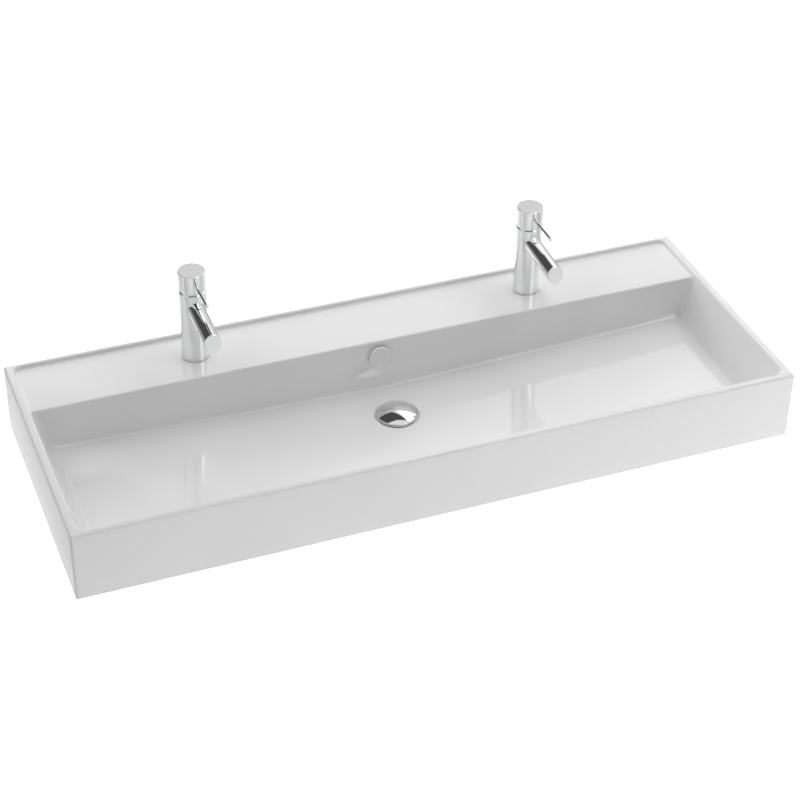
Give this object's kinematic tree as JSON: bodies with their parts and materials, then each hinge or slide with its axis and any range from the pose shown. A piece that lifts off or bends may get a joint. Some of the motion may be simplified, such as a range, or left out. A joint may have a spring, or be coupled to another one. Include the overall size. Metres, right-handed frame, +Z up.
{
  "type": "washbasin",
  "caption": "Wide wall-hung rectangular washbasin with a sunken tap deck, single-lever mixer taps with pin levers, a click waste with a domed plug and a round overflow cover.",
  "frame": {"origin": "midpoint between the two wall-fixing holes, on the wall plane, 60 mm below the rim", "axes": "+X to the right along the wall, +Y into the wall, +Z up"},
  "size_m": [1.2, 0.46, 0.3431],
  "materials": {
    "ceramic_glaze": "glossy white glaze",
    "white_plastic": "glossy",
    "pale_plastic": "matte",
    "grey_plastic": "matte",
    "chrome": "polished",
    "steel": "satin",
    "brass": "plain machined",
    "rubber": "matte",
    "disc_ceramic": "lapped"
  },
  "bodies": {
    "basin": {"basin_body": "ceramic_glaze", "overflow_sleeve": "white_plastic", "overflow_cover": "white_plastic", "waste_body": "chrome", "waste_top_seal": "rubber", "waste_tapered_seal": "rubber", "waste_slip_washer": "pale_plastic", "waste_lock_nut": "brass", "click_housing": "grey_plastic", "click_spring": "steel", "left_mixer_body": "chrome", "left_spout": "chrome", "left_aerator_housing": "chrome", "left_aerator_insert": "grey_plastic", "left_base_gasket": "rubber", "left_fixing_stud": "steel", "left_rubber_horseshoe": "rubber", "left_steel_horseshoe": "steel", "left_stud_nut": "brass", "left_cartridge_housing": "pale_plastic", "left_fixed_disc": "disc_ceramic", "left_retaining_nut": "brass", "left_trim_ring": "chrome", "right_mixer_body": "chrome", "right_spout": "chrome", "right_aerator_housing": "chrome", "right_aerator_insert": "grey_plastic", "right_base_gasket": "rubber", "right_fixing_stud": "steel", "right_rubber_horseshoe": "rubber", "right_steel_horseshoe": "steel", "right_stud_nut": "brass", "right_cartridge_housing": "pale_plastic", "right_fixed_disc": "disc_ceramic", "right_retaining_nut": "brass", "right_trim_ring": "chrome"},
    "left_swivel": {"left_rotor": "grey_plastic", "left_pivot_pin": "steel"},
    "left_handle": {"left_spindle": "brass", "left_lever_cap": "chrome", "left_lever": "chrome", "left_grub_screw": "steel", "left_screw_plug": "chrome"},
    "left_disc": {"left_moving_disc": "disc_ceramic", "left_disc_carrier": "pale_plastic"},
    "right_swivel": {"right_rotor": "grey_plastic", "right_pivot_pin": "steel"},
    "right_handle": {"right_spindle": "brass", "right_lever_cap": "chrome", "right_lever": "chrome", "right_grub_screw": "steel", "right_screw_plug": "chrome"},
    "right_disc": {"right_moving_disc": "disc_ceramic", "right_disc_carrier": "pale_plastic"},
    "waste_plug": {"plug_cap": "chrome", "plug_seal": "rubber", "plug_stem": "steel"}
  },
  "joints": [
    {"name": "left_temperature", "type": "hinge", "parent": "basin", "child": "left_swivel", "pos_m": [-0.295, -0.065, 0.166], "axis": [0, 0, 1], "range_deg": [-50, 50]},
    {"name": "left_flow", "type": "hinge", "parent": "left_swivel", "child": "left_handle", "pos_m": [-0.295, -0.065, 0.166], "axis": [-1, 0, 0], "range_deg": [0, 22]},
    {"name": "left_disc_slide", "type": "slide", "parent": "left_swivel", "child": "left_disc", "axis": [0, -1, 0], "range_m": [0, 0.0046]},
    {"name": "right_temperature", "type": "hinge", "parent": "basin", "child": "right_swivel", "pos_m": [0.295, -0.065, 0.166], "axis": [0, 0, 1], "range_deg": [-50, 50]},
    {"name": "right_flow", "type": "hinge", "parent": "right_swivel", "child": "right_handle", "pos_m": [0.295, -0.065, 0.166], "axis": [-1, 0, 0], "range_deg": [0, 22]},
    {"name": "right_disc_slide", "type": "slide", "parent": "right_swivel", "child": "right_disc", "axis": [0, -1, 0], "range_m": [0, 0.0046]},
    {"name": "waste_click", "type": "slide", "parent": "basin", "child": "waste_plug", "axis": [0, 0, 1], "range_m": [0, 0.007], "deforming": ["click_spring"]}
  ],
  "couplings": [
    {"joint": "left_disc_slide", "follows": "left_flow", "m_per_rad": 0.0117},
    {"joint": "right_disc_slide", "follows": "right_flow", "m_per_rad": 0.0117}
  ]
}
